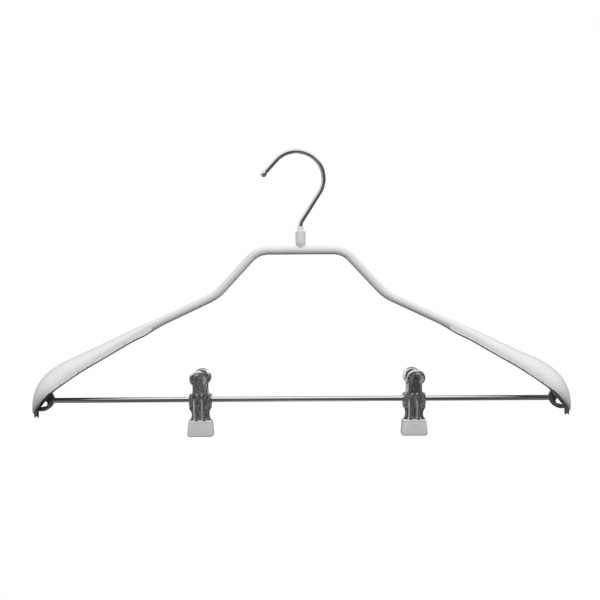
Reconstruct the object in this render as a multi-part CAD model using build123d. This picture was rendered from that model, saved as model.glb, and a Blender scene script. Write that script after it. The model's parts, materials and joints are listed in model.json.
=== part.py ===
from build123d import *
import math
import os

# Skirt hanger: a coated wire frame with wide pressed shoulders, a turning chrome hook,
# and a chrome bar that carries two sprung clips.
# Sizes are in millimetres. Everything is built about the neck axis, with height zero on
# the centreline of the frame's level top wire, and is then moved so that the origin is
# the inside of the hook's crown, where the rail lies.

# Clearances
overrun = 2.0
running_clearance = 0.05
side_clearance = 0.15
loose_clearance = 0.3
weld_gap = 0.1
coat_gap = 0.15

# Hook
hook_wire_d = 3.3
hook_bend_r = 21.2
hook_offset = 3.0
hook_foot_gap = 0.35
hook_round_angle = 138.0
hook_tip_run = 14.3
hook_lean = 32.7
hook_foot_bend_r = 8.0
hook_ball_d = 4.7
hook_head_d = 4.4
hook_head_h = 1.2

# Neck
neck_h = 14.8
neck_bore_d = 4.6
neck_wall = 0.7
neck_coat = 0.9
neck_root_r = 1.8
neck_root_h = 1.4
neck_taper_h = 5.6
neck_bore_floor = 5.2
neck_fillet_r = 0.7
neck_rim_r = 0.4
bush_dome_d = 4.5
bush_dome_h = 3.7
bush_dome_r = 0.45
bush_skirt_h = 8.0

# Frame wire
frame_wire_d = 4.8
frame_coat = 0.85
frame_flat_half = 33.5
frame_drop_x = 65.6
frame_drop_z = 34.6
frame_flat_bend_r = 19.0
frame_drop_bend_r = 34.0
arm_slope = 25.1

# Shoulder blades
plate_wall = 0.8
blade_coat = 0.55
blade_start_run = 55.7
blade_straight = 76.4
blade_bend_r = 31.5
blade_tip_run = 7.7
plate_lip = 0.8
plate_tip_lip = 1.2
blade_half_width = 22.0
blade_drop = 18.0
blade_collar = 9.0
frame_wire_stop = 6.0
blade_start_round_share = 0.5
# Each row: place along the blade, half width, front depth, rear depth, and how much of
# the depths is round.
blade_shares = [
    (0.080, 0.270, 0.458, 0.440, 0.58),
    (0.165, 0.364, 0.478, 0.435, 0.66),
    (0.330, 0.573, 0.590, 0.480, 0.76),
    (0.496, 0.782, 0.700, 0.530, 0.82),
    (0.648, 0.945, 0.870, 0.550, 0.87),
    (0.746, 1.000, 0.850, 0.530, 0.90),
    (0.820, 0.970, 0.735, 0.480, 0.89),
    (0.876, 0.870, 0.600, 0.400, 0.87),
    (0.920, 0.720, 0.440, 0.310, 0.85),
    (0.960, 0.510, 0.270, 0.220, 0.85),
    (1.000, 0.280, 0.150, 0.150, 0.85),
]

# Bar and its brackets: the bar's rise is above the centre of the blade's bend, the lobe's
# inset is from the bracket's outer edge, and the hole is set from the lobe's centre
bar_d = 4.0
bar_rise = 3.7
bracket_wall = 1.2
bracket_lobe_r = 8.4
bracket_lobe_inset = 5.7
bracket_rim = 2.0
bracket_rim_wall = 2.6
bracket_hole_d = 4.0
bracket_hole_inward = 1.0
bracket_hole_below = 2.8
bracket_strap = 2.6
bracket_strap_angle = 50.0
bracket_stub = 1.9
bar_seat = 0.8

# Clips
left_clip_x = -78.4
right_clip_x = 87.3
lever_wall = 0.9
lever_half_width = 8.2
pivot_wall = 0.7
pivot_flange = 0.5
pivot_flange_d = 7.4
spring_wire_d = 1.2
spring_pitch = 1.75
spring_turns = 5
spring_clearance = 0.35
spring_leg_h = 12.0
spring_arc_step = 90.0
spring_measure_step = 15

# Lever, measured from the pivot: reach is out from the clip's middle plane
face_reach = 5.35
crease_h = 4.2
face_drop = 7.5
jaw_reach = 2.3
jaw_top_drop = 15.5
jaw_drop = 27.7
profile_bend_r = 2.5
handle_lean = 20.0
ear_r = 4.6
ear_top = 3.4
ear_drop = 6.6
ear_corner = 0.3
waist_half_width = 6.5
waist_drop = 10.6
flare_half_width = 8.1
jaw_half_width = 8.7
jaw_corner_r = 2.0
neck_half_width = 5.3
neck_run = 4.5
dish_r = 7.3
dish_run = 13.5
dish_floor_r = 5.3
dish_lip = 1.3
rib_half_width = 2.05
rib_height = 1.15
rib_offset = 3.0
rib_top = 0.0
rib_foot_drop = 16.4

# Pads
pad_cover = 1.3
pad_gap = 0.3
pad_top_half_width = 9.1
pad_bottom_half_width = 10.4
pad_top_drop = 15.9
pad_bottom_drop = 28.6
pad_corner_r = 2.3
pad_edge_r = 0.6
dimple_half_width = 1.5
dimple_half_height = 0.5
dimple_depth = 0.35
dimple_drop = 20.2

# The middle of a quarter round lies this share of its radius in from each side
round_corner_share = 0.293

# Derived sizes
hook_r = hook_wire_d / 2
wire_r = frame_wire_d / 2
tube_r = wire_r + frame_coat
bar_r = bar_d / 2
sleeve_top = neck_h
hook_foot_top = sleeve_top + bush_dome_h + hook_foot_gap
hook_turn = math.radians(hook_lean)
hook_foot_tangent = hook_foot_bend_r * math.tan(hook_turn / 2)
hook_run = (hook_bend_r * math.cos(hook_turn) - hook_offset) / math.sin(hook_turn)
hook_run_h = hook_run * math.cos(hook_turn)
hook_rise = hook_foot_top + hook_foot_tangent + hook_run_h + hook_bend_r * math.sin(hook_turn)
crown_h = hook_rise + hook_bend_r - hook_r
sleeve_r = neck_bore_d / 2 + neck_wall
plate_crest = wire_r + weld_gap + plate_wall
crest = plate_crest + coat_gap + blade_coat
blade_turn = 90 - arm_slope
blade_arc = blade_bend_r * math.radians(blade_turn)
blade_length = blade_straight + blade_arc + blade_tip_run
bracket_r = blade_bend_r + plate_crest - plate_wall - loose_clearance
pivot_bore_r = bar_r + running_clearance
pivot_r = pivot_bore_r + pivot_wall
spring_r = pivot_r + spring_clearance + spring_wire_d / 2
ear_outer = lever_half_width
ear_inner = ear_outer - lever_wall - side_clearance


def at(x, z):
    """A point in the hanger's middle plane."""
    return Vector(x, 0, z)


def along(angle):
    """The level-to-upright unit direction at an angle from +X, in the middle plane."""
    return at(math.cos(math.radians(angle)), math.sin(math.radians(angle)))


def rod(path, radius):
    """A round rod swept along a path."""
    start = Plane(origin=path @ 0, z_dir=path % 0)
    return sweep(start * Circle(radius), path=path)


# Hook


def hook_path():
    """The hook wire's centreline, from the ball tip to the foot of its upright end."""
    centre = at(-hook_offset, hook_rise)
    round_start = centre + along(hook_round_angle) * hook_bend_r
    tip = round_start + along(hook_round_angle + 90) * hook_tip_run
    round_end = centre + along(-hook_lean) * hook_bend_r
    run_down = along(-90 - hook_lean)
    bend_start = round_end + run_down * (hook_run - hook_foot_tangent)
    bend_end = at(0, hook_foot_top)
    foot = at(0, head_top() - hook_head_h)
    return Wire(
        [
            Edge.make_line(tip, round_start),
            Edge.make_three_point_arc(round_start, centre + at(0, hook_bend_r), round_end),
            Edge.make_line(round_end, bend_start),
            Edge.make_tangent_arc(bend_start, run_down, bend_end),
            Edge.make_line(bend_end, foot),
        ]
    )


def head_top():
    """Height of the upper face of the hook's upset head, just under the bush."""
    return sleeve_top - bush_skirt_h - side_clearance


def hook_parts():
    """The hook wire with its head, and the ball on its tip."""
    path = hook_path()
    wire = rod(path, hook_r)
    head = Cylinder(hook_head_d / 2, hook_head_h, align=(Align.CENTER, Align.CENTER, Align.MAX))
    ball = Pos(path @ 0) * Sphere(hook_ball_d / 2)
    return {
        "hook_wire": wire + Pos(0, 0, head_top()) * head,
        "hook_ball_tip": ball - wire,
    }


# Neck


def neck_bush():
    """The bush that the hook turns in: a skirt in the sleeve and a dome above it."""
    skirt = Cylinder(neck_bore_d / 2, bush_skirt_h, align=(Align.CENTER, Align.CENTER, Align.MAX))
    dome = Cylinder(bush_dome_d / 2, bush_dome_h, align=(Align.CENTER, Align.CENTER, Align.MIN))
    dome = fillet(dome.edges().group_by(Axis.Z)[-1], bush_dome_r)
    bore = Cylinder(hook_r + running_clearance, 2 * (bush_skirt_h + bush_dome_h))
    return Pos(0, 0, sleeve_top) * (skirt + dome - bore)


def neck_body(skin):
    """The sleeve's outside as a turned solid, grown by a skin: upright above a tapered root."""
    outline = Polyline(
        (0, 0),
        (neck_root_r + skin, 0),
        (neck_root_r + skin, neck_root_h),
        (sleeve_r + skin, neck_taper_h),
        (sleeve_r + skin, sleeve_top),
        (0, sleeve_top),
        close=True,
    )
    return revolve(Plane.XZ * make_face(outline), Axis.Z)


def neck_bore():
    """The bore that holds the bush and the hook's head."""
    base = (Align.CENTER, Align.CENTER, Align.MIN)
    return Pos(0, 0, neck_bore_floor) * Cylinder(neck_bore_d / 2, neck_h, align=base)


def neck_sleeve(wire):
    """The steel sleeve that stands on the frame wire."""
    return neck_body(0) - neck_bore() - wire


# Frame wire


def arm_direction():
    """The unit direction of the right arm, outwards and down."""
    return along(-arm_slope)


def blade_start():
    """The point on the arm's centreline where the blade begins."""
    return at(frame_drop_x, -frame_drop_z) + arm_direction() * blade_start_run


def frame_path(beyond):
    """The frame wire's centreline, running a given distance past each blade's start."""
    end = blade_start() + arm_direction() * beyond
    half = [at(frame_flat_half, 0), at(frame_drop_x, -frame_drop_z), end]
    points = [at(-p.X, p.Z) for p in reversed(half)] + half
    radii = [frame_drop_bend_r, frame_flat_bend_r, frame_flat_bend_r, frame_drop_bend_r]
    return FilletPolyline(*points, radius=radii).wire()


def collar():
    """The coat's thickening on the right arm, up to the blade's start."""
    plane = Plane(origin=blade_start() - arm_direction() * blade_collar, z_dir=arm_direction())
    return plane * Cone(tube_r, crest, blade_collar, align=(Align.CENTER, Align.CENTER, Align.MIN))


def frame_coating(wire, sleeve):
    """The white coat on the wire between the blades, and on the neck."""
    boss = neck_body(neck_coat)
    boss = fillet(boss.edges().group_by(Axis.Z)[-1], neck_rim_r)
    coat = rod(frame_path(0), tube_r) + boss
    seam = coat.edges().filter_by(lambda e: e.geom_type != GeomType.CIRCLE)
    seam = seam.filter_by(lambda e: abs(e.center().X) < sleeve_r and 0 < e.center().Z < neck_taper_h)
    coat = fillet(seam, neck_fillet_r)
    coat = coat + collar() + mirror(collar(), about=Plane.YZ)
    return coat - wire - sleeve - neck_bore()


# Shoulder blades, built on the right arm


def bend_centre():
    """The centre of the bend at the blade's outer end."""
    bend_start = blade_start() + arm_direction() * blade_straight
    return bend_start - along(90 - arm_slope) * blade_bend_r


def spine(run):
    """The point and the heading (degrees below level) at a distance along the blade."""
    if run <= blade_straight:
        return blade_start() + arm_direction() * run, arm_slope
    if run <= blade_straight + blade_arc:
        heading = arm_slope + math.degrees((run - blade_straight) / blade_bend_r)
        return bend_centre() + along(90 - heading) * blade_bend_r, heading
    past = run - blade_straight - blade_arc
    return bend_centre() + at(blade_bend_r, -past), 90.0


def arch_face(run, half_width, front_depth, rear_depth, round_share, inset, wall, lip):
    """A curved strip square to the arm: a wall of the blade, inset from its skin."""
    point, heading = spine(run)
    plane = Plane(origin=point, x_dir=(0, 1, 0), z_dir=along(-heading))
    front_side = crest - front_depth * round_share
    rear_side = crest - rear_depth * round_share
    front_bottom = crest - front_depth - lip
    rear_bottom = crest - rear_depth - lip
    outer = half_width - inset
    inner = outer - wall
    top = crest - inset
    under = top - wall
    outline = (
        Line((-outer, front_bottom), (-outer, front_side))
        + EllipticalCenterArc((0, front_side), outer, top - front_side, 90, arc_size=90)
        + EllipticalCenterArc((0, rear_side), outer, top - rear_side, 0, arc_size=90)
        + Line((outer, rear_side), (outer, rear_bottom))
        + Line((outer, rear_bottom), (inner, rear_bottom))
        + Line((inner, rear_bottom), (inner, rear_side))
        + EllipticalCenterArc((0, rear_side), inner, under - rear_side, 0, arc_size=90)
        + EllipticalCenterArc((0, front_side), inner, under - front_side, 90, arc_size=90)
        + Line((-inner, front_side), (-inner, front_bottom))
        + Line((-inner, front_bottom), (-outer, front_bottom))
    )
    return plane * make_face(outline)


def arch(inset, wall, lip):
    """One wall of the right blade, from its start on the arm to its tip."""
    faces = [arch_face(0, crest, 2 * crest, 2 * crest, blade_start_round_share, inset, wall, lip)]
    for place, wide, front, rear, rounded in blade_shares:
        depths = (front * blade_drop, rear * blade_drop)
        size = (place * blade_length, wide * blade_half_width, *depths, rounded)
        faces.append(arch_face(*size, inset, wall, lip))
    if lip:
        faces.append(arch_face(blade_length + plate_tip_lip, *size[1:], inset, wall, lip))
    return loft(faces)


def blade_plate():
    """The pressed steel plate, which rests on the wire and shows as a lip below the coat."""
    return arch(blade_coat + coat_gap, plate_wall, plate_lip)


def blade_coating():
    """The white coat over the plate's outside."""
    return arch(0, blade_coat, 0)


# Bar and brackets


def bar_place():
    """The right lobe's centre, on the bar's axis."""
    return bend_centre() + at(bracket_r - bracket_lobe_inset, bar_rise)


def bracket():
    """The right bracket: a rimmed lobe with a hole, and a strap along the blade's inside."""
    centre = bend_centre()
    lobe_x = bar_place().X - centre.X
    tail_run = blade_tip_run + bracket_stub
    middle = Plane(origin=centre, x_dir=(1, 0, 0), z_dir=(0, -1, 0))
    strap_end = Vector(2 * bracket_r, 0).rotate(Axis.Z, bracket_strap_angle)
    wedge = Polygon((0, 0), (2 * bracket_r, 0), (strap_end.X, strap_end.Y), align=None)
    band = (Circle(bracket_r) - Circle(bracket_r - bracket_strap)) & wedge
    tail = Pos(bracket_r, 0) * Rectangle(bracket_strap, tail_run, align=(Align.MAX, Align.MAX))
    within = Circle(bracket_r) + Rectangle(bracket_r, tail_run, align=(Align.MIN, Align.MAX))
    place = Pos(lobe_x, bar_rise)
    lobe = place * Circle(bracket_lobe_r) & within
    rim = lobe - place * Circle(bracket_lobe_r - bracket_rim)
    hole = Pos(lobe_x - bracket_hole_inward, bar_rise - bracket_hole_below) * Circle(bracket_hole_d / 2)
    sheet = middle * (band + tail + lobe - hole)
    edge = middle * (rim - hole)
    return extrude(sheet, bracket_wall / 2, both=True) + extrude(edge, bracket_rim_wall / 2, both=True)


def lower_bar(brackets):
    """The bar, each end slotted onto the edge of its bracket's rim."""
    reach = bar_place().X - bracket_lobe_r + bar_seat
    rod_body = Pos(0, 0, bar_place().Z) * Rot(0, 90, 0) * Cylinder(bar_r, 2 * reach)
    solids = (rod_body - brackets[0] - brackets[1]).solids()
    return solids.sort_by(SortBy.VOLUME)[-1]


# Clips, built about the pivot with the front towards -Y


def helix_point(angle):
    """A point on the spring's wire, by the angle turned from its rear leg."""
    first = math.radians(spring_first())
    turn = math.radians(angle)
    axial = spring_length() / 2 - spring_pitch * angle / 360
    return Vector(axial, spring_r * math.cos(first + turn), spring_r * math.sin(first + turn))


def helix_tangent(angle):
    """The unit direction of the spring's wire at that point."""
    first = math.radians(spring_first())
    turn = math.radians(angle)
    rise = -spring_pitch / (2 * math.pi)
    side = Vector(0, -spring_r * math.sin(first + turn), spring_r * math.cos(first + turn))
    return (side + Vector(rise, 0, 0)).normalized()


def leg_reach():
    """How far out from the middle a spring leg ends, just inside the leaning handle."""
    lean = math.radians(handle_lean)
    sheet = face_reach + (spring_leg_h - crease_h) * math.tan(lean)
    return sheet - (lever_wall / 2 + spring_wire_d / 2 + loose_clearance) / math.cos(lean)


def leg_lean():
    """Lean of each spring leg from upright, so that it leaves the coil at a tangent."""
    distance = math.hypot(leg_reach(), spring_leg_h)
    return math.degrees(math.atan2(leg_reach(), spring_leg_h) + math.asin(spring_r / distance))


def leg_length():
    """Length of each leg from the coil to its end."""
    return math.sqrt(leg_reach() ** 2 + spring_leg_h**2 - spring_r**2)


def spring_first():
    """Angle round the pivot where the rear leg meets the coil."""
    return 180 - leg_lean()


def spring_sweep():
    """Angle turned by the wire from the rear leg to the front leg."""
    return 360 * spring_turns + leg_lean() - spring_first()


def spring_length():
    """Distance between the coil's first and last wire centres."""
    return spring_pitch * spring_sweep() / 360


def biarc(start, start_dir, end, end_dir):
    """Two arcs that join two points with given directions."""
    gap = end - start
    both = start_dir + end_dir
    slack = 2 * (1 - start_dir.dot(end_dir))
    reach = (-gap.dot(both) + math.sqrt(gap.dot(both) ** 2 + slack * gap.dot(gap))) / slack
    middle = (start + end + (start_dir - end_dir) * reach) / 2
    first = Edge.make_tangent_arc(start, start_dir, middle)
    return [first, Edge.make_tangent_arc(middle, first % 1, end)]


def spring():
    """The spring: one wire wound round the pivot tube, with a leg to each handle."""
    total = spring_sweep()
    steps = round(total / spring_arc_step)
    angles = [total * i / steps for i in range(steps + 1)]
    edges = []
    for low, high in zip(angles, angles[1:]):
        edges += biarc(helix_point(low), helix_tangent(low), helix_point(high), helix_tangent(high))
    tail = helix_point(0) - helix_tangent(0) * leg_length()
    head = helix_point(total) + helix_tangent(total) * leg_length()
    path = [Edge.make_line(tail, helix_point(0))] + edges + [Edge.make_line(helix_point(total), head)]
    return rod(Wire(path), spring_wire_d / 2)


def spring_gap():
    """Least gap between neighbouring turns, measured between points on the wire."""
    total = spring_sweep()
    points = [helix_point(angle) for angle in range(0, round(total), spring_measure_step)]
    half_turn = 180 // spring_measure_step
    near = [(p - q).length for i, p in enumerate(points) for q in points[i + half_turn :]]
    return min(near) - spring_wire_d


def pivot_tube():
    """The tube that slides on the bar, flared at both ends to keep the levers on."""
    length = 2 * (ear_outer + side_clearance)
    tube = Cylinder(pivot_r, length)
    flange = Cylinder(pivot_flange_d / 2, pivot_flange)
    shift = (length + pivot_flange) / 2
    body = tube + Pos(0, 0, shift) * flange + Pos(0, 0, -shift) * flange
    return Rot(0, 90, 0) * (body - Cylinder(pivot_bore_r, length + 2 * overrun))


def face_profile():
    """The lever's side profile below its crease: reach out against height."""
    points = [
        (-face_reach, crease_h + lever_wall),
        (-face_reach, -face_drop),
        (-jaw_reach, -jaw_top_drop),
        (-jaw_reach, -jaw_drop),
    ]
    return FilletPolyline(*points, radius=profile_bend_r)


side_plane = Plane(origin=(0, 0, 0), x_dir=(0, 1, 0), z_dir=(1, 0, 0))
front_plane = Plane(origin=(0, 0, 0), x_dir=(1, 0, 0), z_dir=(0, -1, 0))


def lever_face():
    """The lever's face from the crease down to the jaw, cut to its front outline."""
    sheet = extrude(side_plane * trace(face_profile(), lever_wall), 2 * lever_half_width, both=True)
    corner = jaw_corner_r * round_corner_share
    right = (
        Line((0, crease_h), (neck_half_width + lever_wall, crease_h))
        + ThreePointArc(
            (neck_half_width + lever_wall, crease_h),
            (lever_half_width - ear_corner, ear_top + ear_corner),
            (lever_half_width, ear_top - lever_wall),
        )
        + Line((lever_half_width, ear_top - lever_wall), (lever_half_width, -ear_drop))
        + ThreePointArc(
            (lever_half_width, -ear_drop),
            (waist_half_width, -waist_drop),
            (flare_half_width, -jaw_top_drop),
        )
        + Line((flare_half_width, -jaw_top_drop), (jaw_half_width, -jaw_drop + jaw_corner_r))
        + ThreePointArc(
            (jaw_half_width, -jaw_drop + jaw_corner_r),
            (jaw_half_width - corner, -jaw_drop + corner),
            (jaw_half_width - jaw_corner_r, -jaw_drop),
        )
        + Line((jaw_half_width - jaw_corner_r, -jaw_drop), (0, -jaw_drop))
        + Line((0, -jaw_drop), (0, crease_h))
    )
    half = front_plane * make_face(right)
    block = extrude(half, face_reach + overrun)
    return sheet & (block + mirror(block, about=Plane.YZ))


def handle_plane():
    """The handle's middle plane, from the crease upwards and outwards."""
    lean = math.radians(handle_lean)
    return Plane(
        origin=(0, -face_reach, crease_h),
        x_dir=(1, 0, 0),
        z_dir=(0, -math.cos(lean), -math.sin(lean)),
    )


def handle():
    """The neck of the handle and the dished thumb plate with its raised lip."""
    plane = handle_plane()
    neck = make_face(
        Polyline(
            (-neck_half_width - lever_wall, -lever_wall / 2),
            (-neck_half_width, neck_run),
            (-neck_half_width, dish_run),
            (neck_half_width, dish_run),
            (neck_half_width, neck_run),
            (neck_half_width + lever_wall, -lever_wall / 2),
            close=True,
        )
    )
    strip = extrude(plane * neck, lever_wall / 2, both=True)
    bowl = revolve(
        Plane.XZ
        * make_face(
            Polyline(
                (0, -lever_wall / 2),
                (dish_floor_r, -lever_wall / 2),
                (dish_r, dish_lip),
                (dish_r, dish_lip + lever_wall / 2),
                (dish_r - lever_wall, dish_lip + lever_wall / 2),
                (dish_floor_r - lever_wall / 2, lever_wall / 2),
                (0, lever_wall / 2),
                close=True,
            )
        ),
        Axis.Z,
    )
    seat = revolve(
        Plane.XZ
        * make_face(
            Polyline(
                (0, lever_wall / 2),
                (dish_floor_r - lever_wall / 2, lever_wall / 2),
                (dish_r - lever_wall, dish_lip + lever_wall / 2),
                (0, dish_lip + lever_wall / 2),
                close=True,
            )
        ),
        Axis.Z,
    )
    dish = plane * Pos(0, dish_run, 0) * bowl
    return strip - plane * Pos(0, dish_run, 0) * seat + dish


def ear(centre_x):
    """One ear, from the face back round the pivot, at a place across the clip."""
    front = -face_reach + lever_wall / 2
    edges = Circle(ear_r).edges() + Polyline((front, ear_top), (front, -ear_drop)).edges()
    blank = side_plane * make_hull(edges)
    hole = Rot(0, 90, 0) * Cylinder(pivot_r + running_clearance, 4 * lever_half_width)
    return Pos(centre_x, 0, 0) * extrude(blank, lever_wall / 2, both=True) - hole


def rib(centre_x, half_width, height, top):
    """A vertical rib on the face, arched at its top."""
    path = side_plane * FilletPolyline(
        (-face_reach, top),
        (-face_reach, -face_drop),
        (-jaw_reach, -jaw_top_drop),
        (-jaw_reach, -rib_foot_drop),
        radius=profile_bend_r,
    )
    section = Plane(origin=(0, -face_reach, top), x_dir=(1, 0, 0), z_dir=(0, 0, -1))
    outer = make_face(
        EllipticalCenterArc((0, 0), half_width, height, 0, arc_size=180)
        + Line((-half_width, 0), (half_width, 0))
    )
    bead = sweep(section * outer, path=path.wire())
    ball = Sphere(half_width, arc_size1=0, align=(Align.CENTER, Align.CENTER, Align.MIN))
    cap = Rot(90, 0, 0) * scale(ball, by=(1, 1, height / half_width))
    return Pos(centre_x, 0, 0) * (bead + Pos(0, -face_reach, top) * cap)


def lever(ear_x):
    """A stamped lever: face, handle, two ears at the given place, and two ribs."""
    body = lever_face() + handle()
    for side in (-1, 1):
        body = body + rib(side * rib_offset, rib_half_width, lever_wall / 2 + rib_height, rib_top)
    for side in (-1, 1):
        body = body + ear(side * (ear_x - lever_wall / 2))
    return body


def pad(body):
    """The white tip dipped over a lever's jaw, with its small dimple."""
    front = jaw_reach + lever_wall / 2 + pad_cover
    back = pad_gap / 2
    outline = make_face(
        Polyline(
            (-pad_top_half_width, -pad_top_drop),
            (-pad_bottom_half_width, -pad_bottom_drop),
            (pad_bottom_half_width, -pad_bottom_drop),
            (pad_top_half_width, -pad_top_drop),
            close=True,
        )
    )
    outline = fillet(outline.vertices().group_by(Axis.Y)[0], pad_corner_r)
    block = Pos(0, -back, 0) * extrude(front_plane * outline, front - back)
    rim = block.edges().filter_by(lambda e: abs(e.center().Y + front) < pad_edge_r / 2)
    block = fillet(rim, pad_edge_r)
    dimple = Pos(0, -front, -dimple_drop) * Rot(90, 0, 0)
    cut = dimple * extrude(Ellipse(dimple_half_width, dimple_half_height), dimple_depth, both=True)
    return block - cut - body


def clip_parts():
    """One clip's pieces about its pivot."""
    front = lever(ear_outer)
    rear = mirror(lever(ear_inner), about=Plane.XZ)
    front_pad = pad(front)
    return {
        "pivot_tube": pivot_tube(),
        "front_lever": front,
        "rear_lever": rear,
        "spring": spring(),
        "front_pad": front_pad,
        "rear_pad": mirror(front_pad, about=Plane.XZ),
    }


# The whole hanger


def hanger():
    """Every piece by name, about the neck axis."""
    wire = rod(frame_path(blade_straight - frame_wire_stop), wire_r)
    sleeve = neck_sleeve(wire)
    plate = blade_plate()
    coat = blade_coating()
    right_bracket = bracket()
    left_bracket = mirror(right_bracket, about=Plane.YZ)
    parts = {
        **hook_parts(),
        "neck_bush": neck_bush(),
        "neck_sleeve": sleeve,
        "frame_wire": wire,
        "frame_coating": frame_coating(wire, sleeve),
        "right_blade_plate": plate,
        "right_blade_coating": coat,
        "left_blade_plate": mirror(plate, about=Plane.YZ),
        "left_blade_coating": mirror(coat, about=Plane.YZ),
        "right_bar_bracket": right_bracket,
        "left_bar_bracket": left_bracket,
        "lower_bar": lower_bar([left_bracket, right_bracket]),
    }
    clip = clip_parts()
    for side, place in (("left", left_clip_x), ("right", right_clip_x)):
        for name, piece in clip.items():
            parts[f"{side}_{name}"] = Pos(place, 0, bar_place().Z) * piece
    return parts


print("least gap between the spring's turns", round(spring_gap(), 3))
os.makedirs("parts", exist_ok=True)
for name, piece in hanger().items():
    placed = Pos(hook_offset, 0, -crown_h) * piece
    export_step(placed, f"parts/{name}.step")
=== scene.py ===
import json
import math
import bpy
from mathutils import Matrix, Vector


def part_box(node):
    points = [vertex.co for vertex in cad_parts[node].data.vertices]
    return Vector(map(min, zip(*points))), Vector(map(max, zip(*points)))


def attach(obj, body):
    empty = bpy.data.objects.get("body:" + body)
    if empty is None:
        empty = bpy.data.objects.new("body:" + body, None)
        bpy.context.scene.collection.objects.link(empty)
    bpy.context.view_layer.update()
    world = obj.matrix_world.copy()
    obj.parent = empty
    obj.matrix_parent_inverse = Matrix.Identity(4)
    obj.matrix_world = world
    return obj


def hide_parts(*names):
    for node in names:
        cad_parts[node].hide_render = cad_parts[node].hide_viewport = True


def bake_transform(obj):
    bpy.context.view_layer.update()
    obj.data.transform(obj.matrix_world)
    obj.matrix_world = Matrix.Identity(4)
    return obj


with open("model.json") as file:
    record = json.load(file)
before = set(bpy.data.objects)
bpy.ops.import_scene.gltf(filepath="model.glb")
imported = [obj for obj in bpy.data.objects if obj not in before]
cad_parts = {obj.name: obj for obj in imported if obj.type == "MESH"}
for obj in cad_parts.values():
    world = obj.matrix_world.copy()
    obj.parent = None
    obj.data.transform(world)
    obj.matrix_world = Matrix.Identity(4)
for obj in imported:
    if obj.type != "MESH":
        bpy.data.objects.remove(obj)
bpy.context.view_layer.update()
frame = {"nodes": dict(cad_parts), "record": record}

MM = 0.001
UM = 0.000001
SIDES = {"left": -1, "right": 1}
FACINGS = {"front": -1, "rear": 1}
SAME_PLACE = 0.01 * MM
MERGE_WITHIN = 0.002 * MM


def middle(node):
    """The middle of a node's box."""
    low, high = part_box(node)
    return (Vector(low) + Vector(high)) / 2


# The hanger's own places, in metres in the shared frame
FRAME_WIRE_R = 2.4 * MM
NECK_X = middle("neck_sleeve").x
TOP_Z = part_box("frame_wire")[1][2] - FRAME_WIRE_R
PIVOT = {side: middle(f"{side}_pivot_tube") for side in SIDES}

# The photograph: the picture's middle, the neck's pixel and the size of a pixel at the hanger
PICTURE = 600
MIDDLE_PX = (300.0, 300.0)
NECK_PX = (300.9, 250.3)
PIXEL = 0.777 * MM
CAMERA_AWAY = 0.640
CAMERA_ROLL = 0.35

# A clip's lever, measured from the pivot
FACE_REACH = 5.35 * MM
CREASE_H = 4.2 * MM
HANDLE_LEAN = math.radians(20)
SHEET = 0.9 * MM
NECK_HALF_WIDTH = 5.3 * MM
CUT_RUN = 5.8 * MM
NECK_TOP_RUN = 9.0 * MM
DISH_RUN = 13.5 * MM
DISH_CREST_R = 6.5 * MM
# The dish's section in millimetres, its back from the middle to the rim and its front back to the
# middle, and where the rim starts and ends to sink as it comes round to the crease
DISH_BACK = [(0.0, -0.55), (5.4, -0.55), (7.3, 1.2)]
DISH_FRONT = [
    (7.3, 1.35), (6.3, 2.4), (6.0, 2.4), (5.2, 1.4),
    (4.2, 0.8), (3.0, 0.45), (1.5, 0.3), (0.0, 0.25),
]
DISH_STEPS = 96
DISH_SINK = (0.45, 0.85)
FLANGE_R = 0.5 * MM
PIP_R = 0.95 * MM
PIP_OFFSET = 1.95 * MM
PIP_H = 3.9 * MM
RIB_TOP = 2.1 * MM
RIB_FULL = -3.5 * MM
STAMPING_VOXEL = 0.17 * MM
STAMPING_PASSES = 3

# A clip's spring
SPRING_R = 3.7 * MM
SPRING_WIRE_R = 0.6 * MM
SPRING_PITCH = 1.75 * MM
SPRING_TURNS = 5
SPRING_LEG_REACH = 6.752 * MM
SPRING_LEG_H = 12.0 * MM
SPRING_STEPS = 24

# A clip's pads
PAD_TOP_HALF_WIDTH = 9.1 * MM
PAD_BOTTOM_HALF_WIDTH = 10.4 * MM
PAD_TOP_DROP = 15.9 * MM
PAD_BOTTOM_DROP = 28.6 * MM
PAD_FRONT = 4.05 * MM
PAD_BACK = 0.15 * MM
PAD_CORNER_R = 2.3 * MM
PAD_TOP_EDGE = 1.2 * MM
PAD_FRONT_EDGE_R = 1.1 * MM
PAD_BACK_EDGE_R = 0.4 * MM
PAD_GROOVE_DROPS = (1.3 * MM, 2.0 * MM, 2.9 * MM)
PAD_GROOVE_DEPTH = 0.22 * MM
DIMPLE_DROP = 20.2 * MM
DIMPLE_SIZE = (1.5 * MM, 0.35 * MM, 0.5 * MM)

# The brackets: their stamped edges, and the hole beside the shoulder's edge
BRACKET_VOXEL = 0.2 * MM
BRACKET_PASSES = 4
HOLE_DEPTH = 5.0 * MM
HOLE_BELOW = 2.8 * MM
HOLE_R = 2.3 * MM
HOLE_IN = -1.2 * MM
LOBE_INSET = 5.7 * MM

# The shoulders: where each begins on its arm, how far its start is tucked into the wire's coat,
# how its tip leans out, the rear of it further, and how far the coat stops short of the plate's tip
ARM_SLOPE = math.radians(25.1)
ARM_CORNER = (65.6 * MM, -34.6 * MM)
SHOULDER_RUN = 55.7 * MM
START_TUCK = 0.20
START_REACH = 11.0 * MM
TIP_LEAN = 2.0 * MM
TIP_REACH = 15.0 * MM
TIP_REAR_Y = 6.0 * MM
TIP_REAR_LEAN = 1.8 * MM
TIP_REAR_REACH = 9.0 * MM
TIP_GIVE = 4.0 * MM
TIP_SLICES = 16
TIP_BARE = 3.8 * MM

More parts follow.
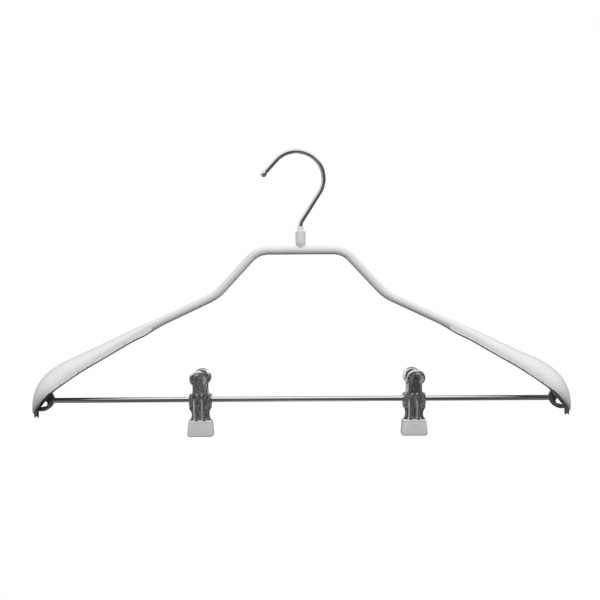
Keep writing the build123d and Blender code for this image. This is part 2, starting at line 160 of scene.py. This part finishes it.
# The surroundings: a floor well below the hanger, and each lamp's place, size and power
FLOOR_R = 0.35
FLOOR_Z = -1.10
FLOOR_FADE = (0.08, 0.35)
LAMP_TARGET = (0, 0, -0.12)
LAMPS = {
    "key softbox": ((0.16, -0.85, 0.40), 0.8, 5.3),
    "left softbox": ((-0.90, -0.40, 0.15), 0.6, 0.3),
}

# The finishes: the part of the noise that their tones and roughness follow, and the dust's colour
TONE_RANGE = (0.3, 0.7)
DUST_COLOUR = (0.55, 0.54, 0.52, 1)


# Shared effects for the finishes


def new_group(name, inputs, outputs):
    """An empty shader group with named number or vector sockets."""
    group = bpy.data.node_groups.new(name, "ShaderNodeTree")
    for title, kind, value in inputs:
        socket = group.interface.new_socket(title, in_out="INPUT", socket_type=kind)
        if value is not None:
            socket.default_value = value
    for title, kind in outputs:
        group.interface.new_socket(title, in_out="OUTPUT", socket_type=kind)
    return group, group.nodes.new("NodeGroupInput"), group.nodes.new("NodeGroupOutput")


def math_node(nodes, links, operation, first, second, clamp=False):
    """A Math node fed by sockets or plain numbers; returns its output."""
    node = nodes.new("ShaderNodeMath")
    node.operation = operation
    node.use_clamp = clamp
    for socket, value in zip(node.inputs, (first, second)):
        if isinstance(value, (int, float)):
            socket.default_value = value
        else:
            links.new(value, socket)
    return node.outputs[0]


def map_range(nodes, links, value, source, target):
    """A number carried from one range to another and held within it."""
    node = nodes.new("ShaderNodeMapRange")
    for title, number in zip(("From Min", "From Max", "To Min", "To Max"), (*source, *target)):
        node.inputs[title].default_value = number
    links.new(value, node.inputs["Value"])
    return node.outputs["Result"]


def noise(nodes, links, vector, scale, detail, roughness):
    """A Noise Texture's Factor output, read at a vector."""
    node = nodes.new("ShaderNodeTexNoise")
    node.inputs["Scale"].default_value = scale
    node.inputs["Detail"].default_value = detail
    node.inputs["Roughness"].default_value = roughness
    links.new(vector, node.inputs["Vector"])
    return node.outputs["Fac"]


def grain_group():
    """Fine surface grain over broad tone changes, for coats and mouldings."""
    group, entry, out = new_group(
        "surface grain",
        [("Vector", "NodeSocketVector", None), ("Fineness", "NodeSocketFloat", 1.0)],
        [("Tone", "NodeSocketFloat"), ("Height", "NodeSocketFloat")],
    )
    nodes, links = group.nodes, group.links
    scaled = nodes.new("ShaderNodeVectorMath")
    scaled.operation = "SCALE"
    links.new(entry.outputs["Vector"], scaled.inputs[0])
    links.new(entry.outputs["Fineness"], scaled.inputs["Scale"])
    vector = scaled.outputs["Vector"]
    broad = noise(nodes, links, vector, 35, 2, 0.5)
    medium = noise(nodes, links, vector, 420, 3, 0.55)
    fine = noise(nodes, links, vector, 2600, 2, 0.6)
    tone = math_node(nodes, links, "MULTIPLY", broad, 0.65)
    tone = math_node(nodes, links, "ADD", tone, math_node(nodes, links, "MULTIPLY", medium, 0.35))
    height = math_node(nodes, links, "MULTIPLY", medium, 0.45)
    height = math_node(nodes, links, "ADD", height, math_node(nodes, links, "MULTIPLY", fine, 0.55))
    links.new(tone, out.inputs["Tone"])
    links.new(height, out.inputs["Height"])
    return group


def draw_lines_group():
    """Fine lines left by drawing or polishing metal, along one direction, over slow waves."""
    group, entry, out = new_group(
        "polishing lines",
        [("Vector", "NodeSocketVector", None), ("Stretch", "NodeSocketVector", (1.0, 1.0, 1.0))],
        [("Tone", "NodeSocketFloat"), ("Height", "NodeSocketFloat"), ("Waves", "NodeSocketFloat")],
    )
    nodes, links = group.nodes, group.links
    stretched = nodes.new("ShaderNodeVectorMath")
    stretched.operation = "MULTIPLY"
    links.new(entry.outputs["Vector"], stretched.inputs[0])
    links.new(entry.outputs["Stretch"], stretched.inputs[1])
    lines = noise(nodes, links, stretched.outputs["Vector"], 900, 4, 0.65)
    cloud = noise(nodes, links, entry.outputs["Vector"], 60, 3, 0.5)
    waves = noise(nodes, links, entry.outputs["Vector"], 330, 2, 0.45)
    tone = math_node(nodes, links, "MULTIPLY", lines, 0.5)
    tone = math_node(nodes, links, "ADD", tone, math_node(nodes, links, "MULTIPLY", cloud, 0.5))
    links.new(tone, out.inputs["Tone"])
    links.new(lines, out.inputs["Height"])
    links.new(waves, out.inputs["Waves"])
    return group


def dust_group():
    """A thin settled dust: more on faces that look up, broken by noise."""
    group, entry, out = new_group(
        "settled dust",
        [("Vector", "NodeSocketVector", None), ("Amount", "NodeSocketFloat", 0.2)],
        [("Mask", "NodeSocketFloat")],
    )
    nodes, links = group.nodes, group.links
    surface = nodes.new("ShaderNodeNewGeometry")
    parts = nodes.new("ShaderNodeSeparateXYZ")
    links.new(surface.outputs["Normal"], parts.inputs[0])
    upward = math_node(nodes, links, "MAXIMUM", parts.outputs["Z"], 0.0)
    patches = noise(nodes, links, entry.outputs["Vector"], 180, 5, 0.7)
    patches = math_node(nodes, links, "SUBTRACT", patches, 0.35, clamp=True)
    mask = math_node(nodes, links, "MULTIPLY", upward, patches)
    mask = math_node(nodes, links, "MULTIPLY", mask, entry.outputs["Amount"], clamp=True)
    links.new(mask, out.inputs["Mask"])
    return group


GRAIN = grain_group()
LINES = draw_lines_group()
DUST = dust_group()


# Finishes


def start_material(name):
    """A material with its shader, output and Object coordinates."""
    material = bpy.data.materials.new(name)
    material.use_nodes = True
    nodes, links = material.node_tree.nodes, material.node_tree.links
    shader = nodes["Principled BSDF"]
    coords = nodes.new("ShaderNodeTexCoord").outputs["Object"]
    return material, nodes, links, shader, coords


def place_group(nodes, links, group, coords, **values):
    """A shared effect placed in a material, with its own values."""
    node = nodes.new("ShaderNodeGroup")
    node.node_tree = group
    links.new(coords, node.inputs["Vector"])
    for title, value in values.items():
        node.inputs[title].default_value = value
    return node


def tint(nodes, links, factor, greys):
    """A grey that runs from the first to the second as the factor rises."""
    ramp = nodes.new("ShaderNodeValToRGB")
    for element, place, grey in zip(ramp.color_ramp.elements, TONE_RANGE, greys):
        element.position = place
        element.color = (grey, grey, grey, 1)
    links.new(factor, ramp.inputs[0])
    return ramp.outputs["Color"]


def relief(nodes, links, height, depth, under=None):
    """A Bump node over another's normal, if any; returns its normal. Depth is in metres."""
    bump = nodes.new("ShaderNodeBump")
    bump.inputs["Strength"].default_value = 1.0
    bump.inputs["Distance"].default_value = depth
    links.new(height, bump.inputs["Height"])
    if under:
        links.new(under, bump.inputs["Normal"])
    return bump.outputs["Normal"]


def soft_finish(name, greys, rough, fineness, depth, dust):
    """A coat or moulding: fine grain, slight tone changes and a little dust."""
    material, nodes, links, shader, coords = start_material(name)
    grain = place_group(nodes, links, GRAIN, coords, Fineness=fineness)
    settled = place_group(nodes, links, DUST, coords, Amount=dust)
    colour = tint(nodes, links, grain.outputs["Tone"], greys)
    mix = nodes.new("ShaderNodeMix")
    mix.data_type = "RGBA"
    mix.inputs["B"].default_value = DUST_COLOUR
    links.new(settled.outputs["Mask"], mix.inputs["Factor"])
    links.new(colour, mix.inputs["A"])
    links.new(mix.outputs["Result"], shader.inputs["Base Color"])
    roughness = map_range(nodes, links, grain.outputs["Tone"], TONE_RANGE, rough)
    links.new(roughness, shader.inputs["Roughness"])
    links.new(relief(nodes, links, grain.outputs["Height"], depth), shader.inputs["Normal"])
    return material


def metal_finish(name, greys, rough, stretch, depth, wave=0.0):
    """A polished or drawn metal with fine lines along it, and slow waves where it is pressed."""
    material, nodes, links, shader, coords = start_material(name)
    shader.inputs["Metallic"].default_value = 1.0
    lines = place_group(nodes, links, LINES, coords, Stretch=stretch)
    links.new(tint(nodes, links, lines.outputs["Tone"], greys), shader.inputs["Base Color"])
    roughness = map_range(nodes, links, lines.outputs["Tone"], TONE_RANGE, rough)
    links.new(roughness, shader.inputs["Roughness"])
    waves = relief(nodes, links, lines.outputs["Waves"], wave) if wave else None
    links.new(relief(nodes, links, lines.outputs["Height"], depth, waves), shader.inputs["Normal"])
    return material


# Each finish: its two greys, its roughness range, its grain and the depth of its relief
FINISHES = {
    "white_coat": soft_finish("white soft coat", (0.79, 0.82), (0.42, 0.52), 1.0, 1.2 * UM, 0.08),
    "white_pad": soft_finish("white vinyl tip", (0.68, 0.73), (0.34, 0.44), 1.4, 6 * UM, 0.15),
    "nylon": soft_finish("nylon bush", (0.84, 0.88), (0.32, 0.42), 1.6, 4 * UM, 0.10),
    "chrome": metal_finish("chromed wire", (0.74, 0.82), (0.06, 0.12), (1, 12, 12), 2 * UM),
    "bright_chrome": metal_finish("bright chrome bead", (0.78, 0.86), (0.05, 0.12), (4, 4, 4), 2 * UM),
    "dark_chrome": metal_finish("chromed sheet", (0.66, 0.80), (0.08, 0.18), (8, 8, 1.5), 3 * UM, 180 * UM),
    "spring_steel": metal_finish("spring steel", (0.30, 0.38), (0.22, 0.35), (1, 6, 6), 4 * UM),
    "plate_steel": metal_finish("pressed steel", (0.22, 0.30), (0.30, 0.45), (2, 8, 2), 6 * UM),
    "steel": metal_finish("drawn steel", (0.40, 0.48), (0.30, 0.42), (1, 10, 10), 6 * UM),
}


def dress(piece, slot):
    """Gives a piece a finish, and nothing else in its slots."""
    piece.data.materials.clear()
    piece.data.materials.append(FINISHES[slot])


for part in frame["record"]["subparts"]:
    dress(frame["nodes"][part["node"]], part["material_slot"])


# Modelling steps


def only(piece):
    """Makes a piece the one selected and active object."""
    bpy.ops.object.select_all(action="DESELECT")
    piece.select_set(True)
    bpy.context.view_layer.objects.active = piece


def modify(piece, kind, **values):
    """Adds a modifier with its values and applies it."""
    modifier = piece.modifiers.new(kind.lower(), kind)
    for name, value in values.items():
        setattr(modifier, name, value)
    only(piece)
    bpy.ops.object.modifier_apply(modifier=modifier.name)


def settle(piece):
    """Puts a piece's place, turn and scale into its mesh."""
    only(piece)
    bpy.ops.object.transform_apply(location=True, rotation=True, scale=True)


def join(pieces):
    """Joins pieces into the first one."""
    only(pieces[0])
    for piece in pieces[1:]:
        piece.select_set(True)
    bpy.ops.object.join()


def copy_of(piece, name, shift=(0, 0, 0)):
    """A copy of a piece with its own mesh, moved by a shift."""
    copied = bpy.data.objects.new(name, piece.data.copy())
    bpy.context.scene.collection.objects.link(copied)
    copied.data.transform(Matrix.Translation(shift))
    return copied


def edit_all(piece, operator, **values):
    """Runs an edit-mode operator on the whole of a piece."""
    only(piece)
    bpy.ops.object.mode_set(mode="EDIT")
    bpy.ops.mesh.select_all(action="SELECT")
    operator(**values)
    bpy.ops.object.mode_set(mode="OBJECT")


def merge(piece):
    """Merges a copied mesh's loose triangles, or a spun section's ends, into one skin."""
    edit_all(piece, bpy.ops.mesh.remove_doubles, threshold=MERGE_WITHIN)


def face_outwards(piece):
    """Turns every face of a piece outwards."""
    edit_all(piece, bpy.ops.mesh.normals_make_consistent, inside=False)


def smooth(piece, degrees=35):
    """Smooth shading, with the sharp edges kept."""
    only(piece)
    bpy.ops.object.shade_smooth_by_angle(angle=math.radians(degrees))


def cut_above(piece, place, direction):
    """Cuts off what lies beyond a plane, and closes the cut."""
    plane = {"plane_co": place, "plane_no": direction}
    edit_all(piece, bpy.ops.mesh.bisect, use_fill=True, clear_outer=True, **plane)


def slice_at(piece, heights):
    """Adds an edge loop round a piece at each height, so that its mesh can bend there."""
    for height in heights:
        edit_all(piece, bpy.ops.mesh.bisect, plane_co=(0, 0, height), plane_no=(0, 0, 1))


def select_edges(piece, test):
    """Selects the edges whose end points pass a test, and leaves the piece in edit mode."""
    only(piece)
    bpy.ops.object.mode_set(mode="EDIT")
    bpy.ops.mesh.select_mode(type="EDGE")
    bpy.ops.mesh.select_all(action="DESELECT")
    bpy.ops.object.mode_set(mode="OBJECT")
    points = piece.data.vertices
    for edge in piece.data.edges:
        edge.select = test(points[edge.vertices[0]].co, points[edge.vertices[1]].co)
    bpy.ops.object.mode_set(mode="EDIT")


def bevel_edges(piece, test, radius, segments):
    """Rounds the edges that pass a test."""
    select_edges(piece, test)
    bpy.ops.mesh.bevel(offset=radius, segments=segments, affect="EDGES", clamp_overlap=True)
    bpy.ops.object.mode_set(mode="OBJECT")


def round_over(piece, voxel, passes):
    """Fuses a stamping's pieces into one skin, with every edge slightly rounded by the plating."""
    face_outwards(piece)
    modify(piece, "REMESH", mode="VOXEL", voxel_size=voxel)
    modify(piece, "SMOOTH", factor=0.5, iterations=passes)
    for polygon in piece.data.polygons:
        polygon.use_smooth = True


def cut_out(piece, tool):
    """Cuts a tool's shape out of a piece, and removes the tool."""
    modify(piece, "BOOLEAN", operation="DIFFERENCE", object=tool, solver="EXACT")
    bpy.data.objects.remove(tool)


def hand_over(piece, body, node, slot):
    """Gives a piece its finish, hangs it on the body that it rides and hides the node that it stands for.
    """
    dress(piece, slot)
    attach(piece, body)
    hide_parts(node)


# Levers


def ease(value, low, high):
    """A smooth step from 0 to 1 as the value goes from low to high."""
    share = min(max((value - low) / (high - low), 0), 1)
    return share * share * (3 - 2 * share)


def dish():
    """The rimmed thumb dish: its section spun round, with the rim sunk towards the crease."""
    places = [(radius * MM, 0, height * MM) for radius, height in DISH_BACK + DISH_FRONT]
    mesh = bpy.data.meshes.new("dish")
    mesh.from_pydata(places, [(i, i + 1) for i in range(len(places) - 1)], [])
    bowl = bpy.data.objects.new("dish", mesh)
    bpy.context.scene.collection.objects.link(bowl)
    turn = {"angle": 2 * math.pi, "center": (0, 0, 0), "axis": (0, 0, 1)}
    edit_all(bowl, bpy.ops.mesh.spin, steps=DISH_STEPS, **turn)
    merge(bowl)
    back = {(round(radius, 3), round(height, 3)) for radius, height in DISH_BACK}
    for vertex in bowl.data.vertices:
        radius = math.hypot(vertex.co.x, vertex.co.y)
        towards_crease = ease(-vertex.co.y / max(radius, SHEET), *DISH_SINK)
        behind = (round(radius / MM, 3), round(vertex.co.z / MM, 3)) in back
        flat = -SHEET / 2 if behind else SHEET / 2
        vertex.co.z += (flat - vertex.co.z) * towards_crease
    return bowl


def handle_neck():
    """The flat neck between the crease and the dish, with a low flange along each side."""
    low = CUT_RUN - DISH_RUN - SHEET
    high = NECK_TOP_RUN - DISH_RUN
    bpy.ops.mesh.primitive_cube_add(
        size=1, location=(0, (low + high) / 2, 0), scale=(2 * NECK_HALF_WIDTH, high - low, SHEET)
    )
    pieces = [bpy.context.active_object]
    settle(pieces[0])
    flange_x = NECK_HALF_WIDTH - FLANGE_R
    flange_top = -math.sqrt(DISH_CREST_R**2 - flange_x**2)
    for turn in (-1, 1):
        bpy.ops.mesh.primitive_cylinder_add(
            vertices=24,
            radius=FLANGE_R,
            depth=flange_top + DISH_RUN - SHEET,
            location=(turn * flange_x, (flange_top - DISH_RUN + SHEET) / 2, SHEET / 4),
            rotation=(math.pi / 2, 0, 0),
        )
        settle(bpy.context.active_object)
        pieces.append(bpy.context.active_object)
    return pieces


def handle_frame(pivot, facing):
    """The dish's own axes: across, up the handle and outwards. Facing is -1 front, 1 rear."""
    up = Vector((0, facing * math.sin(HANDLE_LEAN), math.cos(HANDLE_LEAN)))
    out = Vector((0, facing * math.cos(HANDLE_LEAN), -math.sin(HANDLE_LEAN)))
    crease = pivot + Vector((0, facing * FACE_REACH, CREASE_H))
    place = crease + up * DISH_RUN
    turn = Matrix((Vector((1, 0, 0)), up, out)).transposed().to_4x4()
    return Matrix.Translation(place) @ turn, crease, up


def crease_pips(pivot, facing):
    """Two small pressed pips at the crease, which stiffen the bend."""
    pips = []
    for turn in (-1, 1):
        place = pivot + Vector((turn * PIP_OFFSET, facing * (FACE_REACH + SHEET / 4), PIP_H))
        bpy.ops.mesh.primitive_uv_sphere_add(segments=24, ring_count=12, radius=PIP_R, location=place)
        settle(bpy.context.active_object)
        pips.append(bpy.context.active_object)
    return pips


def fade_ribs(body, pivot, facing):
    """Runs the ribs' tops out into the face over a few millimetres, as a press leaves them."""
    face = FACE_REACH + SHEET / 2
    for vertex in body.data.vertices:
        height = vertex.co.z - pivot.z
        proud = facing * (vertex.co.y - pivot.y) - face
        if proud > 0 and RIB_FULL < height < RIB_TOP:
            vertex.co.y -= facing * proud * (height - RIB_FULL) / (RIB_TOP - RIB_FULL)


def lever(node, pivot, facing):
    """A stamped lever: the face, ears and ribs with a hollowed, rimmed thumb dish above them."""
    frame_matrix, crease, up = handle_frame(pivot, facing)
    body = copy_of(frame["nodes"][node], node + "_stamping")
    merge(body)
    cut_above(body, crease + up * CUT_RUN, up)
    upper = [dish(), *handle_neck()]
    for piece in upper:
        piece.data.transform(frame_matrix)
    join([body, *upper, *crease_pips(pivot, facing)])
    round_over(body, STAMPING_VOXEL, STAMPING_PASSES)
    fade_ribs(body, pivot, facing)
    return body


def levers():
    """The front and the rear lever, modelled on the left clip and copied to the right one."""
    shift = PIVOT["right"] - PIVOT["left"]
    for place, facing in FACINGS.items():
        left = lever(f"left_{place}_lever", PIVOT["left"], facing)
        right = copy_of(left, f"right_{place}_lever_stamping", shift)
        for side, piece in (("left", left), ("right", right)):
            hand_over(piece, f"{side}_{place}_jaw", f"{side}_{place}_lever", "dark_chrome")


# Springs


def spring_line(pivot):
    """The wire's line: the rear leg's end, round the pivot tube, and out to the front leg's end."""
    lean = math.atan2(SPRING_LEG_REACH, SPRING_LEG_H)
    lean += math.asin(SPRING_R / math.hypot(SPRING_LEG_REACH, SPRING_LEG_H))
    first = math.pi - lean
    sweep = 2 * math.pi * SPRING_TURNS + lean - first
    length = SPRING_PITCH * sweep / (2 * math.pi)
    steps = round(sweep / (2 * math.pi) * SPRING_STEPS)
    coil = []
    for step in range(steps + 1):
        turned = sweep * step / steps
        angle = first + turned
        axial = length / 2 - SPRING_PITCH * turned / (2 * math.pi)
        coil.append(pivot + Vector((axial, SPRING_R * math.cos(angle), SPRING_R * math.sin(angle))))
    half = Vector((length / 2, 0, 0))
    tail = pivot + half + Vector((0, SPRING_LEG_REACH, SPRING_LEG_H))
    head = pivot - half + Vector((0, -SPRING_LEG_REACH, SPRING_LEG_H))
    return [tail, *coil, head], length


def spring(side):
    """One clip's spring, coiled round the pivot tube between its two legs."""
    line, length = spring_line(PIVOT[side])
    data = bpy.data.curves.new(f"{side}_spring_wire", "CURVE")
    data.dimensions = "3D"
    data.bevel_depth = SPRING_WIRE_R
    data.bevel_resolution = 4
    data.use_fill_caps = True
    spline = data.splines.new("POLY")
    spline.points.add(len(line) - 1)
    for point, place in zip(spline.points, line):
        point.co = (*place, 1)
    wire = bpy.data.objects.new(f"{side}_spring_wire", data)
    bpy.context.scene.collection.objects.link(wire)
    only(wire)
    bpy.ops.object.convert(target="MESH")
    wire = bpy.context.active_object
    smooth(wire)
    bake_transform(wire)
    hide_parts(f"{side}_spring")
    dress(wire, "spring_steel")


def springs():
    """Both clips' springs."""
    for side in SIDES:
        spring(side)


# Pads


def near(value, goal):
    """Whether two coordinates are at the same place."""
    return abs(value - goal) < SAME_PLACE


def pad_block(name, facing):
    """A tip's plain block, a little narrower at its top."""
    middle_z = -(PAD_TOP_DROP + PAD_BOTTOM_DROP) / 2
    bpy.ops.mesh.primitive_cube_add(
        size=1,
        location=(0, facing * (PAD_FRONT + PAD_BACK) / 2, middle_z),
        scale=(2 * PAD_BOTTOM_HALF_WIDTH, PAD_FRONT - PAD_BACK, PAD_BOTTOM_DROP - PAD_TOP_DROP),
    )
    tip = bpy.context.active_object
    tip.name = name
    settle(tip)
    for vertex in tip.data.vertices:
        if vertex.co.z > middle_z:
            vertex.co.x *= PAD_TOP_HALF_WIDTH / PAD_BOTTOM_HALF_WIDTH
    return tip


def soften_pad(tip, facing):
    """Rounds a tip's lower corners and its edges, and chamfers the outer top edge."""
    outer, inner = facing * PAD_FRONT, facing * PAD_BACK
    top, bottom = -PAD_TOP_DROP, -PAD_BOTTOM_DROP

    def lower_corner(a, b):
        return near(a.z, bottom) and near(b.z, bottom) and near(a.x, b.x)

    def outer_edge(a, b):
        return near(a.y, outer) and near(b.y, outer)

    def outer_top_edge(a, b):
        return outer_edge(a, b) and near(a.z, top) and near(b.z, top)

    def outer_lower_edge(a, b):
        return outer_edge(a, b) and min(a.z, b.z) < (top + bottom) / 2

    def inner_edge(a, b):
        return near(a.y, inner) and near(b.y, inner)

    bevel_edges(tip, lower_corner, PAD_CORNER_R, 10)
    bevel_edges(tip, outer_top_edge, PAD_TOP_EDGE, 1)
    bevel_edges(tip, outer_lower_edge, PAD_FRONT_EDGE_R, 6)
    bevel_edges(tip, inner_edge, PAD_BACK_EDGE_R, 3)


def groove_pad(tip, facing):
    """Presses a shallow groove across the tip's outer face, just under its top."""
    slice_at(tip, [-PAD_TOP_DROP - drop for drop in PAD_GROOVE_DROPS])
    for vertex in tip.data.vertices:
        if near(vertex.co.z, -PAD_TOP_DROP - PAD_GROOVE_DROPS[1]) and abs(vertex.co.y) > PAD_FRONT / 2:
            vertex.co.y -= facing * PAD_GROOVE_DEPTH


def dimple_pad(tip, facing):
    """Sinks a small dimple into the middle of the tip's outer face."""
    place = (0, facing * PAD_FRONT, -DIMPLE_DROP)
    bpy.ops.mesh.primitive_uv_sphere_add(
        segments=32, ring_count=16, radius=1, location=place, scale=DIMPLE_SIZE
    )
    dent = bpy.context.active_object
    settle(dent)
    cut_out(tip, dent)


def pad(name, pivot, facing):
    """A dipped tip: a tapered block with soft edges, a shallow groove under its top and a dimple."""
    tip = pad_block(name, facing)
    soften_pad(tip, facing)
    groove_pad(tip, facing)
    dimple_pad(tip, facing)
    tip.data.transform(Matrix.Translation(pivot))
    smooth(tip, 32)
    return tip


def pads():
    """The pads, modelled on the left clip and copied to the right one."""
    shift = PIVOT["right"] - PIVOT["left"]
    for place, facing in FACINGS.items():
        left = pad(f"left_{place}_tip", PIVOT["left"], facing)
        right = copy_of(left, f"right_{place}_tip", shift)
        for side, piece in (("left", left), ("right", right)):
            hand_over(piece, f"{side}_{place}_jaw", f"{side}_{place}_pad", "white_pad")


# Shoulders


def tip_height(side):
    """The height of a shoulder's lowest point."""
    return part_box(f"{side}_blade_plate")[0][2]


def lean_tip(piece, tip_z, outwards):
    """Leans what is near a shoulder's tip slightly outwards, but not the piece's widest place."""
    widest = max(outwards * vertex.co.x for vertex in piece.data.vertices)
    for vertex in piece.data.vertices:
        behind = ease(vertex.co.y, 0, TIP_REAR_Y)
        lean = TIP_LEAN + behind * TIP_REAR_LEAN
        lean *= 1 - ease(vertex.co.z, tip_z, tip_z + TIP_REACH + behind * TIP_REAR_REACH)
        inside = widest - outwards * vertex.co.x
        vertex.co.x += outwards * lean * min(inside / TIP_GIVE, 1)


def tuck_start(piece, outwards):
    """Tucks a shoulder's start up into the wire's coat."""
    along = Vector((outwards * math.cos(ARM_SLOPE), 0, -math.sin(ARM_SLOPE)))
    across = Vector((outwards * math.sin(ARM_SLOPE), 0, math.cos(ARM_SLOPE)))
    corner = Vector((NECK_X + outwards * ARM_CORNER[0], 0, TOP_Z + ARM_CORNER[1]))
    start = corner + along * SHOULDER_RUN
    for vertex in piece.data.vertices:
        run = (vertex.co - start).dot(along)
        rise = (vertex.co - start).dot(across)
        if rise < 0:
            vertex.co -= across * rise * START_TUCK * (1 - ease(run, 0, START_REACH))


def shoulders():
    """The plates and their white coats; each coat stops short of its plate's tip."""
    reach = TIP_REACH + TIP_REAR_REACH
    for side, outwards in SIDES.items():
        tip_z = tip_height(side)
        for part, slot in (("plate", "plate_steel"), ("coating", "white_coat")):
            node = f"{side}_blade_{part}"
            piece = copy_of(frame["nodes"][node], f"{side}_shoulder_{part}")
            merge(piece)
            if part == "coating":
                cut_above(piece, Vector((0, 0, tip_z + TIP_BARE)), Vector((0, 0, -1)))
            slice_at(piece, [tip_z + reach * step / TIP_SLICES for step in range(1, TIP_SLICES + 1)])
            tuck_start(piece, outwards)
            lean_tip(piece, tip_z, outwards)
            smooth(piece, 30)
            modify(piece, "WEIGHTED_NORMAL", keep_sharp=True)
            hand_over(piece, "frame", node, slot)


# Brackets


def round_bar(place, radius, depth):
    """A short round bar that lies front to back."""
    bpy.ops.mesh.primitive_cylinder_add(
        vertices=64, radius=radius, depth=depth, location=place, rotation=(math.pi / 2, 0, 0)
    )
    settle(bpy.context.active_object)
    return bpy.context.active_object


def brackets():
    """The stamped brackets, with rounded edges and the hole close beside the shoulder's edge."""
    for side, outwards in SIDES.items():
        node = f"{side}_bar_bracket"
        low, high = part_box(node)
        edge = low[0] if outwards < 0 else high[0]
        lobe_x = edge - outwards * LOBE_INSET
        bar_z = PIVOT[side].z
        piece = copy_of(frame["nodes"][node], f"{side}_bracket_stamping")
        merge(piece)
        drill = round_bar((lobe_x - outwards * HOLE_IN, 0, bar_z - HOLE_BELOW), HOLE_R, HOLE_DEPTH)
        cut_out(piece, drill)
        lean_tip(piece, tip_height(side), outwards)
        round_over(piece, BRACKET_VOXEL, BRACKET_PASSES)
        hand_over(piece, "frame", node, "dark_chrome")


levers()
springs()
pads()
shoulders()
brackets()


# Camera, light and surroundings


def add_camera():
    """The camera at the photograph's viewpoint, square to the hanger."""
    data = bpy.data.cameras.new("camera")
    data.lens_unit = "FOV"
    data.angle = 2 * math.atan(PICTURE * PIXEL / 2 / CAMERA_AWAY)
    data.clip_start = 0.01
    camera = bpy.data.objects.new("camera", data)
    bpy.context.scene.collection.objects.link(camera)
    x = NECK_X + (MIDDLE_PX[0] - NECK_PX[0]) * PIXEL
    z = TOP_Z - (MIDDLE_PX[1] - NECK_PX[1]) * PIXEL
    roll = Matrix.Rotation(math.radians(CAMERA_ROLL), 4, "Y")
    upright = Matrix.Rotation(math.pi / 2, 4, "X")
    camera.matrix_world = Matrix.Translation((x, -CAMERA_AWAY, z)) @ roll @ upright
    bpy.context.scene.camera = camera


def add_softbox(name, place, size, power):
    """A square area lamp that faces the hanger."""
    data = bpy.data.lights.new(name, "AREA")
    data.size = size
    data.energy = power
    lamp = bpy.data.objects.new(name, data)
    lamp.visible_glossy = False
    bpy.context.scene.collection.objects.link(lamp)
    aim = Vector(LAMP_TARGET) - Vector(place)
    lamp.matrix_world = Matrix.Translation(place) @ aim.to_track_quat("-Z", "Y").to_matrix().to_4x4()


def studio(nodes, links, direction, x, y, z):
    """What metal shows of the studio: bright ceiling, side and backdrop, and dim patches between."""
    not_behind = map_range(nodes, links, y, (0.30, 0.55), (1.0, 0.10))
    ceiling = map_range(nodes, links, z, (0.58, 0.70), (0.0, 1.15))
    ceiling = math_node(nodes, links, "MULTIPLY", ceiling, not_behind)
    backdrop = map_range(nodes, links, y, (0.80, 0.95), (0.0, 0.30))
    side_panel = map_range(nodes, links, x, (-0.25, -1.0), (0.03, 0.50))
    leftward = math_node(nodes, links, "MULTIPLY", x, -0.6)
    upper_left = math_node(nodes, links, "ADD", leftward, math_node(nodes, links, "MULTIPLY", z, 0.8))
    upper_left = map_range(nodes, links, upper_left, (0.60, 0.70), (0.0, 1.0))
    upper_left = math_node(nodes, links, "MULTIPLY", upper_left, not_behind)
    patches = noise(nodes, links, direction, 5.0, 2, 0.5)
    gloom = map_range(nodes, links, patches, (0.44, 0.66), (0.01, 0.32))
    shown = ceiling
    for light in (backdrop, side_panel, upper_left, gloom):
        shown = math_node(nodes, links, "MAXIMUM", shown, light)
    return shown


def blend_levels(nodes, links, share, first, second):
    """A level between two others; each is a socket or a plain number."""
    mix = nodes.new("ShaderNodeMix")
    for title, value in (("Factor", share), ("A", first), ("B", second)):
        if isinstance(value, float):
            mix.inputs[title].default_value = value
        else:
            links.new(value, mix.inputs[title])
    return mix.outputs["Result"]


def add_world():
    """White where the camera looks, and a plain studio for light and reflections."""
    world = bpy.data.worlds.new("studio")
    bpy.context.scene.world = world
    world.use_nodes = True
    nodes, links = world.node_tree.nodes, world.node_tree.links
    ray = nodes.new("ShaderNodeLightPath").outputs
    direction = nodes.new("ShaderNodeTexCoord").outputs["Generated"]
    parts = nodes.new("ShaderNodeSeparateXYZ")
    links.new(direction, parts.inputs[0])
    x, y, z = (parts.outputs[axis] for axis in "XYZ")
    light = map_range(nodes, links, z, (-0.45, 1.0), (0.02, 1.02))
    shown = studio(nodes, links, direction, x, y, z)
    level = blend_levels(nodes, links, ray["Is Glossy Ray"], light, shown)
    seen = math_node(nodes, links, "MAXIMUM", ray["Is Camera Ray"], ray["Is Transmission Ray"])
    level = blend_levels(nodes, links, seen, level, 1.0)
    back = nodes["Background"]
    back.inputs["Color"].default_value = (1, 1, 1, 1)
    links.new(level, back.inputs["Strength"])


def add_floor():
    """A pale round floor well below the hanger, fading out at its edge."""
    place = (0, 0, FLOOR_Z)
    bpy.ops.mesh.primitive_circle_add(vertices=96, radius=FLOOR_R, fill_type="NGON", location=place)
    floor = bpy.context.active_object
    floor.name = "floor"
    material, nodes, links, shader, coords = start_material("pale floor")
    shader.inputs["Base Color"].default_value = (0.80, 0.80, 0.80, 1)
    shader.inputs["Roughness"].default_value = 0.8
    away = nodes.new("ShaderNodeVectorMath")
    away.operation = "LENGTH"
    links.new(coords, away.inputs[0])
    fade = map_range(nodes, links, away.outputs["Value"], FLOOR_FADE, (1.0, 0.0))
    links.new(fade, shader.inputs["Alpha"])
    floor.data.materials.append(material)


add_camera()
add_world()
add_floor()
for name, values in LAMPS.items():
    add_softbox(name, *values)
bpy.context.scene.view_settings.view_transform = "Standard"
